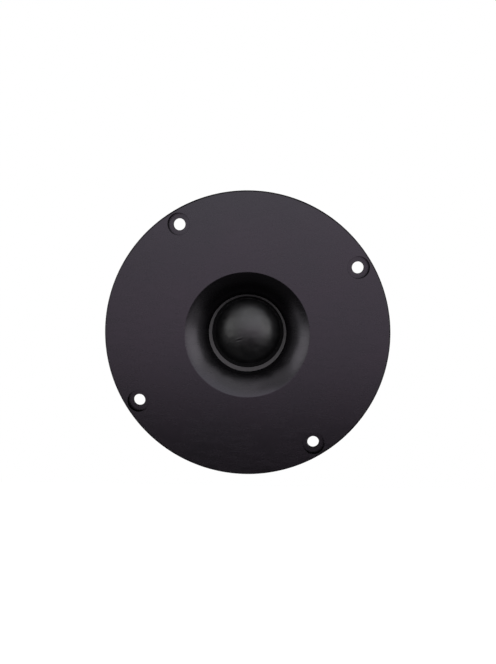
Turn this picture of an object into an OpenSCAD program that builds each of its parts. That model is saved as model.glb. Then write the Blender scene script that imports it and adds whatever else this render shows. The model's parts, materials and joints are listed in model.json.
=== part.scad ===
// Flush-mount soft-dome tweeter: an aluminium faceplate with a machined waveguide, a 25 mm fabric
// dome on a moving coil, a ferrite ring motor and a small sealed rear chamber.
// The model stands upright, faces -Y and has its origin at the centre of the flange's rear face.

/* [Flange] */
// Diameter of the round flange
flange_d = 104; // [100:1:110]
// Thickness of the flange
flange_t = 4; // [3.5:0.1:5]
// Chamfer around the front edge
flange_chamfer = 0.5; // [0.2:0.1:1]
// Diameter of the circle that the four mounting holes lie on
bolt_circle_d = 94; // [92:1:95]
// Number of mounting holes
bolt_count = 4; // [3:1:8]
// Angle of the first mounting hole, counter-clockwise from the right
bolt_clock = 32; // [0:1:89]
// Diameter of each mounting hole
bolt_hole_d = 4.3; // [3.2:0.1:4.6]
// Diameter of the counterbore for the screw's head
bolt_head_d = 8; // [6:0.1:8.2]
// Depth of the counterbore
bolt_head_depth = 2.6; // [1:0.1:2.8]
// Diameter of the boss behind the flange
boss_d = 74; // [73:0.5:78]

/* [Waveguide] */
// Diameter of the waveguide's mouth in the front face
mouth_d = 46; // [42:0.5:54]
// Diameter of the waveguide's throat
throat_d = 28.8; // [28.4:0.1:30]
// Diameter at the knee, where the wide flare meets the tight round at the throat
knee_d = 31.4; // [31:0.1:33]
// Angle between the waveguide's wall and the front face at the mouth, in degrees
mouth_slope = 20; // [14:1:26]
// Angle between the wall and the front face at the knee, in degrees
knee_slope = 47; // [42:1:48]
// Angle between the wall and the front face at the throat, in degrees
throat_slope = 72; // [60:1:74]
// Inner diameter at the rear end of the throat ring
throat_ring_exit_d = 27; // [26.6:0.1:28]
// Length of the throat ring along the axis
throat_ring_len = 4.3; // [3:0.1:4.4]

/* [Diaphragm] */
// Diameter of the fabric dome at its foot
dome_d = 25; // [24.8:0.1:25.4]
// Height of the dome above its foot
dome_height = 4; // [3.6:0.1:6]
// Thickness of the coated fabric
fabric_t = 0.2; // [0.15:0.01:0.25]
// Outer radius of the surround's half roll
roll_r = 1.2; // [1:0.05:1.3]
// Outer diameter of the surround's glued rim
surround_d = 35.2; // [34:0.1:35.6]
// Wall thickness of the coil former
former_t = 0.15; // [0.1:0.01:0.2]
// Build-up of the two-layer winding
coil_t = 0.3; // [0.2:0.01:0.35]
// Height of the winding
coil_h = 3.2; // [2.4:0.1:3.8]

/* [Motor] */
// Thickness of the top plate
top_plate_t = 4; // [3:0.5:5]
// Outer diameter of the ferrite ring
magnet_d = 60; // [58:0.5:60.6]
// Inner diameter of the ferrite ring
magnet_bore_d = 32; // [28:0.5:36]
// Thickness of the ferrite ring
magnet_t = 10; // [8:0.5:15]
// Diameter of the back plate
back_plate_d = 56; // [55.5:0.5:60]
// Thickness of the back plate
back_plate_t = 4; // [3.5:0.5:5]
// Diameter of the vent through the pole
vent_d = 8; // [5:0.5:9]
// Radial clearance on each side of the moving coil
gap_clearance = 0.3; // [0.25:0.01:0.4]

/* [Rear chamber] */
// Outer diameter of the chamber's cup
chamber_d = 42.8; // [38:0.2:43]
// Depth of the cup behind its flange
chamber_depth = 12.3; // [9:0.1:16]
// Wall thickness of the cup
chamber_wall = 1.8; // [1.4:0.1:2.4]

/* [Terminals] */
// Width of the positive blade
positive_blade_w = 4.8; // [4:0.1:5]
// Width of the negative blade
negative_blade_w = 2.8; // [2.4:0.1:4]
// Thickness of both blades
blade_t = 0.5; // [0.4:0.1:0.8]
// Length of the blade behind the carrier's tongue
blade_len = 8.8; // [7:0.1:11]

/* [Hidden] */
$fn = 96;
eps = 0.1;
overlap = 2;

// Waveguide: two tangent arcs in section, a wide one from the mouth to the knee and a tight one on to the
// throat. Each centre is [radius, height above the flange's rear face].
mouth_r = mouth_d / 2;
knee_r = knee_d / 2;
throat_r = throat_d / 2;
flare_arc_r = (mouth_r - knee_r) / (sin(knee_slope) - sin(mouth_slope));
flare_centre = [mouth_r, flange_t] + flare_arc_r * [sin(mouth_slope), -cos(mouth_slope)];
throat_arc_r = (knee_r - throat_r) / (sin(throat_slope) - sin(knee_slope));
knee_centre = flare_centre - (flare_arc_r - throat_arc_r) * [sin(knee_slope), -cos(knee_slope)];
throat_ring_wall = 1.4;
ring_seat_r = throat_r + throat_ring_wall;

// Each part is drawn with its front towards +Z and its top towards +Y, and stood up by upright().
// Heights along the axis, counted from the flange's rear face
throat_z = knee_centre[1] + throat_arc_r * cos(throat_slope);
ring_rear_z = throat_z - throat_ring_len;
recess_z = -9.2;
carrier_gasket_t = 0.5;
carrier_top_z = recess_z - carrier_gasket_t;
carrier_t = 2.5;
top_plate_z = carrier_top_z - carrier_t;
magnet_z = top_plate_z - top_plate_t;
back_plate_z = magnet_z - magnet_t;
motor_rear_z = back_plate_z - back_plate_t;
chamber_gasket_t = 0.5;
chamber_z = motor_rear_z - chamber_gasket_t;
chamber_end_z = chamber_z - chamber_depth;

// Rear seal of the flange, sunk flush into a groove inside the mounting holes
flange_gasket_r = [41, 44];
flange_gasket_t = 0.8;

// Diaphragm: the dome's skirt, the former and the winding fit inside one another
dome_r = dome_d / 2;
dome_foot_z = carrier_top_z + fabric_t;
dome_sphere_r = (pow(dome_r, 2) + pow(dome_height, 2)) / (2 * dome_height);
dome_centre_z = dome_foot_z + dome_height - dome_sphere_r;
skirt_h = 0.9;
skirt_fuse = 0.02;
former_r = dome_r - fabric_t;
former_setback = 0.15;
former_top_z = dome_foot_z - former_setback;
former_tail = 0.4;
former_bottom_z = magnet_z - former_tail;
coil_r = former_r + coil_t;
coil_mid_z = top_plate_z - top_plate_t / 2;
valley_w = 0.2;
roll_inner_r = dome_r + valley_w;
roll_centre_r = roll_inner_r + roll_r;
roll_outer_r = roll_centre_r + roll_r;

// Motor gap
gap_outer_r = coil_r + gap_clearance;
gap_inner_r = former_r - former_t - gap_clearance;
copper_t = 0.35;
copper_tail = 1.2;
copper_len = top_plate_t + copper_tail;
pole_r = gap_inner_r - copper_t;
pole_spigot_r = 9;
pole_window_r = 5;
felt_r = 10;
felt_t = 1.5;
vent_plug_len = 6;

// Carrier: a moulded ring with a tongue that brings the terminals out through the boss
carrier_r = 28.7;
carrier_recess_r = 29;
carrier_gasket_r = [18, 28.5];
tongue_w = 20;
tongue_reach = 38.2;
tongue_clearance = 0.3;
tongue_headroom = 0.7;
terminal_x = 6;
pad_y = 16.1;
pad_window_w = 5.6;
pad_window_reach = 18.6;
pad_window_overrun = 3;
pad_depth = blade_t;
pin_r = 1;
pin_clearance = 0.05;
pin_len = 5;
pin_sink = 3;
pin_place_r = 24;

// Rivets, solder and lead-out wires
rivet_y = 33.2;
rivet_shank_r = 1.1;
rivet_head_r = 1.9;
rivet_front_head_r = 1.8;
rivet_head_t = 0.35;
rivet_pocket_r = 2.3;
rivet_pocket_depth = 1.15;
solder_r = 0.9;
solder_y = 17.1;
wire_r = 0.14;
wire_bend_r = 0.5;
wire_drop = 1.1;
wire_run_z = carrier_top_z - wire_drop;
wire_angle = atan2(terminal_x, solder_y);
wire_solder_gap = 0.5;
wire_end_r = norm([terminal_x, solder_y]) - wire_solder_gap;

// M3 screws
screw_r = 1.5;
screw_hole_r = 1.7;
screw_head_r = 2.7;
screw_head_h = 2.2;
screw_angles = [90, 210, 330];
motor_screw_place_r = 33.2;
motor_screw_len = 9;
motor_tap_runout = 1;
chamber_screw_place_r = 24.2;
chamber_screw_len = 6;

// Rear chamber
chamber_flange_r = 27;
chamber_flange_t = 2;
chamber_round_r = 2.5;
chamber_foam_t = 8;

module upright() {
    rotate([90, 0, 0])
        children();
}

module disc(r, z_low, z_high) {
    translate([0, 0, z_low])
        cylinder(r = r, h = z_high - z_low);
}

module tube(r_out, r_in, z_low, z_high) {
    difference() {
        disc(r_out, z_low, z_high);
        disc(r_in, z_low - eps, z_high + eps);
    }
}

module around(angles, r) {
    for (angle = angles)
        rotate([0, 0, angle])
            translate([r, 0, 0])
                children();
}

// A pan-head screw that points to +Z, with the underside of its head at z = 0 and a cross recess
module pan_screw(length) {
    recess_w = 0.9;
    recess_l = 3.2;
    recess_depth = 1.3;
    head_crown_r = 0.72 * screw_head_r;
    difference() {
        union() {
            disc(screw_r, -eps, length - screw_r / 2);
            translate([0, 0, length - screw_r / 2])
                cylinder(r1 = screw_r, r2 = screw_r / 2, h = screw_r / 2);
            disc(screw_head_r, -screw_head_h / 2, 0);
            translate([0, 0, -screw_head_h])
                cylinder(r1 = head_crown_r, r2 = screw_head_r, h = screw_head_h / 2);
        }
        for (angle = [0, 90])
            rotate([0, 0, angle])
                translate([-recess_l / 2, -recess_w / 2, -screw_head_h - eps])
                    cube([recess_l, recess_w, recess_depth + eps]);
    }
}

module flange_disc() {
    r = flange_d / 2;
    rotate_extrude()
        polygon([
            [0, 0], [r, 0], [r, flange_t - flange_chamfer], [r - flange_chamfer, flange_t], [0, flange_t]
        ]);
}

module waveguide_cavity() {
    difference() {
        disc(mouth_r, throat_z, flange_t + eps);
        rotate_extrude() {
            intersection() {
                translate(flare_centre)
                    circle(r = flare_arc_r);
                translate([knee_r, flange_t - flare_arc_r])
                    square([2 * flare_arc_r, 2 * flare_arc_r]);
            }
            translate(knee_centre)
                circle(r = throat_arc_r);
        }
    }
}

module mounting_holes() {
    around([for (i = [0 : bolt_count - 1]) bolt_clock + i * 360 / bolt_count], bolt_circle_d / 2) {
        disc(bolt_hole_d / 2, -eps, flange_t + eps);
        disc(bolt_head_d / 2, flange_t - bolt_head_depth, flange_t + eps);
    }
}

module tongue_slot() {
    slot_w = tongue_w + 2 * tongue_clearance;
    slot_top_z = carrier_top_z + tongue_headroom;
    translate([-slot_w / 2, -boss_d / 2 - eps, top_plate_z - eps])
        cube([slot_w, boss_d / 2 - carrier_recess_r + overlap, slot_top_z - top_plate_z + eps]);
}

module faceplate() {
    tap_end_z = top_plate_z + motor_screw_len - top_plate_t + motor_tap_runout;
    color("#2c2a2e")
        upright()
            difference() {
                union() {
                    flange_disc();
                    disc(boss_d / 2, top_plate_z, eps);
                }
                waveguide_cavity();
                disc(ring_seat_r, recess_z - eps, throat_z);
                disc(carrier_recess_r, top_plate_z - eps, recess_z);
                tongue_slot();
                mounting_holes();
                tube(flange_gasket_r[1], flange_gasket_r[0], -eps, flange_gasket_t);
                around(screw_angles, motor_screw_place_r)
                    disc(screw_r, top_plate_z - eps, tap_end_z);
            }
}

module flange_gasket() {
    color("#1a1a1a")
        upright()
            tube(flange_gasket_r[1], flange_gasket_r[0], 0, flange_gasket_t);
}

module throat_ring() {
    exit_r = throat_ring_exit_d / 2;
    color("#5c5b5e")
        upright()
            rotate_extrude()
                polygon([
                    [throat_r, throat_z], [ring_seat_r, throat_z],
                    [ring_seat_r, ring_rear_z], [exit_r, ring_rear_z]
                ]);
}

module blade_grooves() {
    for (side = [-1, 1]) {
        groove_w = side < 0 ? positive_blade_w : negative_blade_w;
        translate([side * terminal_x - groove_w / 2, -tongue_reach - eps, carrier_top_z - blade_t])
            cube([groove_w, tongue_reach - pad_y + eps, blade_t + eps]);
        translate([side * terminal_x, -rivet_y, 0]) {
            disc(rivet_shank_r, top_plate_z - eps, carrier_top_z + eps);
            disc(rivet_pocket_r, top_plate_z - eps, top_plate_z + rivet_pocket_depth);
        }
        translate([side * terminal_x - pad_window_w / 2, -pad_window_reach, top_plate_z - eps])
            cube([pad_window_w, pad_window_reach - pad_y + pad_window_overrun, carrier_t - pad_depth + eps]);
    }
}

module diaphragm_carrier() {
    color("#202022")
        upright()
            difference() {
                union() {
                    tube(carrier_r, roll_outer_r, top_plate_z, carrier_top_z);
                    translate([-tongue_w / 2, -tongue_reach, top_plate_z])
                        cube([tongue_w, tongue_reach - carrier_r + overlap, carrier_t]);
                }
                blade_grooves();
                around([0, 180], pin_place_r)
                    disc(pin_r + pin_clearance, top_plate_z - eps, carrier_top_z + eps);
            }
}

module carrier_gasket() {
    color("#3a3a3a")
        upright()
            tube(carrier_gasket_r[1], carrier_gasket_r[0], carrier_top_z, recess_z);
}

module surround() {
    color("#151515")
        upright()
            rotate_extrude() {
                intersection() {
                    translate([roll_centre_r, carrier_top_z])
                        difference() {
                            circle(r = roll_r);
                            circle(r = roll_r - fabric_t);
                        }
                    translate([roll_centre_r - roll_r, carrier_top_z])
                        square([2 * roll_r, roll_r]);
                }
                translate([dome_r, carrier_top_z])
                    square([roll_inner_r - dome_r + fabric_t, fabric_t]);
                translate([roll_outer_r - fabric_t, carrier_top_z])
                    square([surround_d / 2 - roll_outer_r + fabric_t, fabric_t]);
            }
}

module dome_ball(inset) {
    intersection() {
        translate([0, 0, dome_centre_z])
            sphere(r = dome_sphere_r - inset);
        disc(dome_d, dome_foot_z - (inset > 0 ? eps : 0), dome_foot_z + 2 * dome_height);
    }
}

module dome() {
    color("#1c1c1d")
        upright() {
            difference() {
                dome_ball(0);
                dome_ball(fabric_t);
            }
            tube(dome_r, former_r, dome_foot_z - skirt_h, dome_foot_z + skirt_fuse);
        }
}

module coil_former() {
    color("#b58a3c")
        upright()
            tube(former_r, former_r - former_t, former_bottom_z, former_top_z);
}

module voice_coil() {
    color("#b5642d")
        upright()
            tube(coil_r, former_r, coil_mid_z - coil_h / 2, coil_mid_z + coil_h / 2);
}

// A wire that rises from the winding, bends outwards below the surround and runs to its solder joint
module lead_out(side) {
    start_r = former_r + coil_t / 2;
    bend_z = wire_run_z - wire_bend_r;
    color("#c08a5a")
        upright()
            rotate([0, 0, side * wire_angle])
                translate([0, -start_r, 0]) {
                    disc(wire_r, coil_mid_z + coil_h / 2, bend_z);
                    translate([0, -wire_bend_r, bend_z])
                        rotate([90, 0, 90])
                            rotate_extrude(angle = 90)
                                translate([wire_bend_r, 0])
                                    circle(r = wire_r);
                    translate([0, -wire_bend_r, wire_run_z])
                        rotate([90, 0, 0])
                            cylinder(r = wire_r, h = wire_end_r - start_r - wire_bend_r);
                }
}

module lead_out_positive() {
    lead_out(-1);
}

module lead_out_negative() {
    lead_out(1);
}

module solder_joints() {
    color("#c9c9cc")
        upright()
            for (side = [-1, 1])
                intersection() {
                    translate([side * terminal_x, -solder_y, carrier_top_z - blade_t])
                        sphere(r = solder_r);
                    disc(carrier_r, top_plate_z, carrier_top_z - blade_t);
                }
}

// A flat strip in the carrier's groove that turns down over the tongue's end into a blade
module terminal(side, width) {
    blade_chamfer = 0.7;
    blade_hole_r = 0.7;
    blade_hole_inset = 2.6;
    blade_bottom_z = top_plate_z - blade_len;
    color("#c8b070")
        upright()
            translate([side * terminal_x, 0, 0])
                difference() {
                    union() {
                        translate([-width / 2, -tongue_reach - blade_t, carrier_top_z - blade_t])
                            cube([width, tongue_reach + blade_t - pad_y, blade_t]);
                        translate([0, -tongue_reach, 0])
                            rotate([90, 0, 0])
                                linear_extrude(blade_t)
                                    polygon([
                                        [-width / 2, carrier_top_z],
                                        [-width / 2, blade_bottom_z + blade_chamfer],
                                        [-width / 2 + blade_chamfer, blade_bottom_z],
                                        [width / 2 - blade_chamfer, blade_bottom_z],
                                        [width / 2, blade_bottom_z + blade_chamfer],
                                        [width / 2, carrier_top_z]
                                    ]);
                    }
                    translate([0, -tongue_reach + eps, blade_bottom_z + blade_hole_inset])
                        rotate([90, 0, 0])
                            cylinder(r = blade_hole_r, h = blade_t + 2 * eps);
                    translate([0, -rivet_y, 0])
                        disc(rivet_shank_r, carrier_top_z - blade_t - eps, carrier_top_z + eps);
                }
}

module terminal_positive() {
    terminal(-1, positive_blade_w);
}

module terminal_negative() {
    terminal(1, negative_blade_w);
}

module terminal_rivets() {
    pocket_top_z = top_plate_z + rivet_pocket_depth;
    color("#b89a55")
        upright()
            for (side = [-1, 1])
                translate([side * terminal_x, -rivet_y, 0]) {
                    disc(rivet_shank_r, pocket_top_z - rivet_head_t, carrier_top_z + rivet_head_t);
                    disc(rivet_front_head_r, carrier_top_z, carrier_top_z + rivet_head_t);
                    disc(rivet_head_r, pocket_top_z - rivet_head_t, pocket_top_z);
                }
}

module top_plate() {
    color("#8d9096")
        upright()
            difference() {
                tube(boss_d / 2, gap_outer_r, magnet_z, top_plate_z);
                around(screw_angles, motor_screw_place_r)
                    disc(screw_hole_r, magnet_z - eps, top_plate_z + eps);
                around([0, 180], pin_place_r)
                    disc(pin_r, top_plate_z - pin_sink, top_plate_z + eps);
            }
}

module locating_pins() {
    color("#c4c6c9")
        upright()
            around([0, 180], pin_place_r)
                disc(pin_r, top_plate_z - pin_sink, top_plate_z - pin_sink + pin_len);
}

module motor_screws() {
    color("#3b3b3d")
        upright()
            around(screw_angles, motor_screw_place_r)
                translate([0, 0, magnet_z])
                    pan_screw(motor_screw_len);
}

module magnet() {
    color("#3f3f42")
        upright()
            tube(magnet_d / 2, magnet_bore_d / 2, back_plate_z, magnet_z);
}

module back_plate() {
    screw_reach = chamber_screw_len - chamber_flange_t - chamber_gasket_t;
    color("#8d9096")
        upright()
            difference() {
                tube(back_plate_d / 2, pole_spigot_r, motor_rear_z, back_plate_z);
                around(screw_angles, chamber_screw_place_r)
                    disc(screw_r, motor_rear_z - eps, motor_rear_z + screw_reach);
            }
}

module pole_piece() {
    color("#9a9da3")
        upright()
            difference() {
                union() {
                    disc(pole_r, back_plate_z, top_plate_z);
                    disc(pole_spigot_r, motor_rear_z, back_plate_z + eps);
                }
                disc(vent_d / 2, motor_rear_z - eps, top_plate_z + eps);
            }
}

module copper_cap() {
    color("#b8693a")
        upright() {
            tube(gap_inner_r, pole_r, top_plate_z - copper_len, top_plate_z);
            tube(gap_inner_r, pole_window_r, top_plate_z, top_plate_z + copper_t);
        }
}

module pole_felt() {
    felt_z = top_plate_z + copper_t;
    color("#6b6b66")
        upright()
            tube(felt_r, pole_window_r, felt_z, felt_z + felt_t);
}

module vent_plug() {
    color("#4c4c50")
        upright()
            disc(vent_d / 2, motor_rear_z, motor_rear_z + vent_plug_len);
}

module rear_chamber() {
    outer_r = chamber_d / 2;
    inner_r = outer_r - chamber_wall;
    color("#1d1d1f")
        upright()
            difference() {
                union() {
                    disc(chamber_flange_r, chamber_z - chamber_flange_t, chamber_z);
                    disc(outer_r, chamber_end_z + chamber_round_r, chamber_z);
                    disc(outer_r - chamber_round_r, chamber_end_z, chamber_z);
                    rotate_extrude()
                        translate([outer_r - chamber_round_r, chamber_end_z + chamber_round_r])
                            circle(r = chamber_round_r);
                }
                disc(inner_r, chamber_end_z + chamber_wall, chamber_z + eps);
                around(screw_angles, chamber_screw_place_r)
                    disc(screw_hole_r, chamber_z - chamber_flange_t - eps, chamber_z + eps);
            }
}

module rear_chamber_gasket() {
    color("#3a3a3a")
        upright()
            difference() {
                tube(chamber_flange_r, chamber_d / 2 - chamber_wall, chamber_z, motor_rear_z);
                around(screw_angles, chamber_screw_place_r)
                    disc(screw_hole_r, chamber_z - eps, motor_rear_z + eps);
            }
}

module rear_chamber_foam() {
    foam_z = chamber_end_z + chamber_wall;
    color("#77777a")
        upright()
            disc(chamber_d / 2 - chamber_wall, foam_z, foam_z + chamber_foam_t);
}

module rear_chamber_screws() {
    color("#3b3b3d")
        upright()
            around(screw_angles, chamber_screw_place_r)
                translate([0, 0, chamber_z - chamber_flange_t])
                    pan_screw(chamber_screw_len);
}

faceplate();
flange_gasket();
throat_ring();
diaphragm_carrier();
carrier_gasket();
surround();
dome();
coil_former();
voice_coil();
lead_out_positive();
lead_out_negative();
solder_joints();
terminal_positive();
terminal_negative();
terminal_rivets();
top_plate();
locating_pins();
motor_screws();
magnet();
back_plate();
pole_piece();
copper_cap();
pole_felt();
vent_plug();
rear_chamber();
rear_chamber_gasket();
rear_chamber_foam();
rear_chamber_screws();
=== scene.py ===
import json
from math import acos, atan2, cos, exp, hypot, pi, radians, sin, sqrt, tan

import bmesh
import bpy
import numpy as np
from mathutils import Matrix, Vector, noise


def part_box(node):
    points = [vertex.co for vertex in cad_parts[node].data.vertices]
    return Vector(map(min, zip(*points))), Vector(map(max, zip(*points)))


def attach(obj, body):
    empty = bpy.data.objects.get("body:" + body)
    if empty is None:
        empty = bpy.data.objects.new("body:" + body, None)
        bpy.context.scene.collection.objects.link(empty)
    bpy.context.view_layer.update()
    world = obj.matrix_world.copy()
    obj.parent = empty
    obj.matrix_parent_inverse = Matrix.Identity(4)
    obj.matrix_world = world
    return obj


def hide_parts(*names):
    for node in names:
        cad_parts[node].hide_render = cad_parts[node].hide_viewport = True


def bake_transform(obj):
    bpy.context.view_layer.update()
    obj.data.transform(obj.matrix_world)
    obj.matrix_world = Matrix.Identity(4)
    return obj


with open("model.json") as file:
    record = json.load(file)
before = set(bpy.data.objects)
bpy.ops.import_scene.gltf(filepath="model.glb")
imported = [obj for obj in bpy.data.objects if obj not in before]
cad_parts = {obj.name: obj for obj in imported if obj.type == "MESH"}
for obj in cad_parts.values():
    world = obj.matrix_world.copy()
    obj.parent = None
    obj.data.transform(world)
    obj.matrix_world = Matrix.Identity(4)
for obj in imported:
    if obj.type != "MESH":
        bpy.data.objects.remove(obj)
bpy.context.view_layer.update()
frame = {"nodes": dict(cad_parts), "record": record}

# Lengths are in millimetres until the mesh helpers turn them into metres.
MM = 0.001
ROUND_STEPS = 192
FINE_STEPS = 256
SOFT_STEPS = 144
SMALL_STEPS = 48
EYE_STEPS = 32


def mm_box(node):
    """A node's lowest and highest corners, in millimetres."""
    low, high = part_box(node)
    return [v / MM for v in low], [v / MM for v in high]


# ---- dimensions from the frame
FACE_LOW, FACE_HIGH = mm_box("faceplate")
FLANGE_R = FACE_HIGH[0]
FRONT_Y = FACE_LOW[1]
BOSS_END_Y = FACE_HIGH[1]
BOSS_R = mm_box("top_plate")[1][0]
GASKET_R = mm_box("flange_gasket")[1][0]
GASKET_Y = mm_box("flange_gasket")[0][1]
RING_LOW, RING_HIGH = mm_box("throat_ring")
RING_SEAT_R = RING_HIGH[0]
THROAT_Y = RING_LOW[1]
RING_END_Y = RING_HIGH[1]
RECESS_Y = mm_box("carrier_gasket")[0][1]
CARRIER_Y = mm_box("carrier_gasket")[1][1]
CARRIER_GASKET_R = mm_box("carrier_gasket")[1][0]
FABRIC_R = mm_box("surround")[1][0]
DOME_LOW, DOME_HIGH = mm_box("dome")
DOME_R = DOME_HIGH[0]
DOME_TOP_Y = DOME_LOW[1]
SKIRT_END_Y = DOME_HIGH[1]
MAGNET_LOW, MAGNET_HIGH = mm_box("magnet")
BACK_LOW, BACK_HIGH = mm_box("back_plate")
CUP_LOW, CUP_HIGH = mm_box("rear_chamber")
FOAM_LOW, FOAM_HIGH = mm_box("rear_chamber_foam")
COIL_LOW, COIL_HIGH = mm_box("voice_coil")
FORMER_LOW, FORMER_HIGH = mm_box("coil_former")

BOLTS = next(m for m in frame["record"]["mounts"] if m["name"] == "bolt_circle")
BOLT_CIRCLE_R = BOLTS["dims"]["pcd_mm"] / 2
BOLT_HOLE_R = BOLTS["dims"]["hole_r_mm"]
BOLT_COUNT = BOLTS["dims"]["count"]
BOLT_CLOCK = 32
BOLT_ANGLES = [BOLT_CLOCK + i * 360 / BOLT_COUNT for i in range(BOLT_COUNT)]
SCREW_ANGLES = [90, 210, 330]

# ---- sizes that the boxes don't give
MOUTH_R = 23.0
THROAT_R = 14.4
KNEE_R = 15.7
MOUTH_SLOPE, KNEE_SLOPE, THROAT_SLOPE = 20.0, 47.0, 72.0
RING_EXIT_R = 13.5
EDGE_CHAMFER = 0.5
COUNTERBORE_R = 4.0
COUNTERBORE_DEPTH = 2.6
GASKET_INNER_R = 41.0
GASKET_GAP = 0.05
CARRIER_R = 29.0
CARRIER_SEAL_BORE_R = 18.0
TERMINAL_SLOT_HALF = 10.3
TERMINAL_SLOT_ROOF = 0.7
TAPPED_R = 1.5
TAPPED_DEPTH = 6.0
ROLL_R = 1.2
VALLEY_WIDTH = 0.2
ROLL_START = DOME_R + VALLEY_WIDTH
ROLL_END = ROLL_START + 2 * ROLL_R
FABRIC_T = 0.2
FORMER_T = 0.15
COIL_LAYERS = 2
COIL_WIRE_R = 0.072
STRAND_R = 0.062
GAP_R = 12.9
MAGNET_BORE_R = 16.0
SPIGOT_R = 9.0
VENT_R = 4.0
WINDOW_R = 5.0
PIN_R = 1.0
MOTOR_SCREW_R = 33.2
MOTOR_SCREW_LENGTH = 9
CHAMBER_SCREW_R = 24.2
CHAMBER_SCREW_LENGTH = 6
SCREW_CLEARANCE_R = 1.7
CUP_R = 21.4
CUP_WALL = 1.8
CUP_FLANGE_T = 2.0
RIB_SPACING = 30
RIB_HALF = 0.45
TERMINAL_X = 6.0
SOLDER_Z = -17.1
RIVET_Z = -33.2
RIVET_EYE_R = 1.1
RIVET_POCKET_DEPTH = 1.15
BLADE_T = 0.5
BLADE_HOLE_R = 0.7
BLADE_HOLE_FROM_END = 2.6


# ---- mesh helpers
def smooth(piece, angle=30, weighted=True):
    """Smooth shading with sharp edges above an angle; flat faces beside fillets stay flat."""
    mesh = piece.data
    mesh.polygons.foreach_set("use_smooth", [True] * len(mesh.polygons))
    mesh.set_sharp_from_angle(angle=radians(angle))
    if weighted:
        modifier = piece.modifiers.new("flat_faces", "WEIGHTED_NORMAL")
        modifier.keep_sharp = True
        modifier.weight = 100
    return piece


def add_object(name, data):
    thing = bpy.data.objects.new(name, data)
    bpy.context.scene.collection.objects.link(thing)
    return thing


def from_bmesh(name, bm):
    mesh = bpy.data.meshes.new(name)
    bm.to_mesh(mesh)
    bm.free()
    return add_object(name, mesh)


def mesh_object(name, verts, faces, merge=True):
    mesh = bpy.data.meshes.new(name)
    mesh.from_pydata([tuple(v) for v in verts], [], [tuple(f) for f in faces])
    if merge:
        bm = bmesh.new()
        bm.from_mesh(mesh)
        bmesh.ops.remove_doubles(bm, verts=bm.verts, dist=1e-7)
        bmesh.ops.recalc_face_normals(bm, faces=bm.faces)
        bm.to_mesh(mesh)
        bm.free()
    return add_object(name, mesh)


def rounded(corners, arc_steps=5):
    """An outline in which each (radius, y, fillet) corner is rounded by its fillet."""
    outline = []
    for i, corner in enumerate(corners):
        p = np.array(corner[:2], float)
        fillet = corner[2] if len(corner) > 2 else 0
        if fillet <= 0:
            outline.append(p)
            continue
        before = np.array(corners[i - 1][:2], float) - p
        after = np.array(corners[(i + 1) % len(corners)][:2], float) - p
        before /= np.linalg.norm(before)
        after /= np.linalg.norm(after)
        half = acos(np.clip(before @ after, -1, 1)) / 2
        bisector = (before + after) / np.linalg.norm(before + after)
        centre = p + bisector * fillet / sin(half)
        start = p + before * fillet / tan(half) - centre
        end = p + after * fillet / tan(half) - centre
        from_angle = atan2(start[1], start[0])
        sweep = atan2(start[0] * end[1] - start[1] * end[0], start @ end)
        for k in range(arc_steps + 1):
            a = from_angle + sweep * k / arc_steps
            outline.append(centre + fillet * np.array([cos(a), sin(a)]))
    return outline


def lathe(name, outline, steps=ROUND_STEPS, centre=(0, 0)):
    """Turns a closed outline of (radius, y) points about a line along Y through (x, z) = centre."""
    n = len(outline)
    verts = []
    for i in range(steps):
        a = 2 * pi * i / steps
        for r, y in outline:
            x, z = centre[0] + r * cos(a), centre[1] + r * sin(a)
            verts.append((x * MM, y * MM, z * MM))
    faces = []
    for i in range(steps):
        for j in range(n):
            k, m = (i + 1) % steps, (j + 1) % n
            faces.append((i * n + j, i * n + m, k * n + m, k * n + j))
    return mesh_object(name, verts, faces)


def block(name, low, high):
    """A box between two corners, in millimetres."""
    bm = bmesh.new()
    bmesh.ops.create_cube(bm, size=1)
    for v in bm.verts:
        v.co = Vector([(low[k] if v.co[k] < 0 else high[k]) * MM for k in range(3)])
    return from_bmesh(name, bm)


def join(name, pieces):
    """Several objects made into one, with their meshes side by side."""
    bm = bmesh.new()
    for piece in pieces:
        bm.from_mesh(piece.data)
        bpy.data.objects.remove(piece)
    return from_bmesh(name, bm)


def bake_modifiers(piece):
    """Puts the result of an object's modifiers into its mesh."""
    bpy.context.view_layer.update()
    evaluated = piece.evaluated_get(bpy.context.evaluated_depsgraph_get())
    mesh = bpy.data.meshes.new_from_object(evaluated)
    piece.modifiers.clear()
    piece.data = mesh
    return piece


def combine(piece, others, operation="DIFFERENCE"):
    """Cuts other objects out of a piece, or adds them to it, and removes them."""
    tool = join(piece.name + "_tool", others)
    modifier = piece.modifiers.new("combine", "BOOLEAN")
    modifier.operation = operation
    modifier.object = tool
    modifier.solver = "EXACT"
    bake_modifiers(piece)
    bpy.data.objects.remove(tool)
    return piece


def add_bevel(piece, width, angle=40):
    """Rounds the edges that turn by more than angle degrees."""
    modifier = piece.modifiers.new("edges", "BEVEL")
    modifier.width = width * MM
    modifier.segments = 2
    modifier.limit_method = "ANGLE"
    modifier.angle_limit = radians(angle)
    return piece


def on_circle(radius, angle):
    """The (x, z) place at an angle counter-clockwise from the right, seen from the front."""
    return radius * cos(radians(angle)), radius * sin(radians(angle))


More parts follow.
